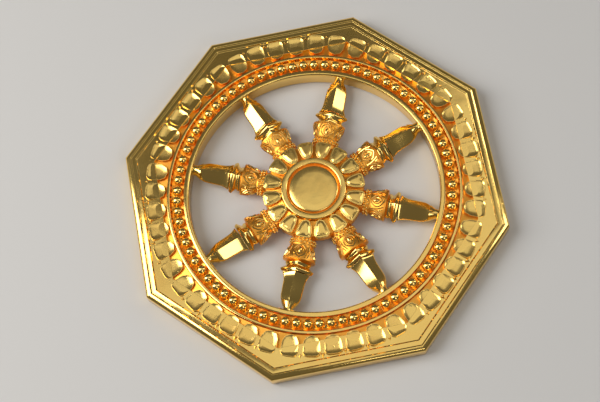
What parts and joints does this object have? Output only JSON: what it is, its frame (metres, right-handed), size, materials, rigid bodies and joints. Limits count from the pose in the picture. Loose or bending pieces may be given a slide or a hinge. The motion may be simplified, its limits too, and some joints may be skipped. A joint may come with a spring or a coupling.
{
  "type": "dharma wheel ornament",
  "caption": "Cast gilt wheel with an eight-sided rim, lotus petals, a beaded ring and vajra-headed spokes on a petalled hub. Lies flat as an altar or wall ornament.",
  "frame": {"origin": "centre of the wheel's plain back, on the surface it lies on", "axes": "+Z out of the carved face, +X and +Y through the middles of two sides of the rim"},
  "size_m": [0.14, 0.14, 0.01],
  "materials": {
    "gilt_metal": "bright gilding over cast brass, mirror polished on the blades and borders, deeper orange in the recesses"
  },
  "bodies": {
    "root": {"dharma_wheel": "gilt_metal"}
  },
  "joints": []
}
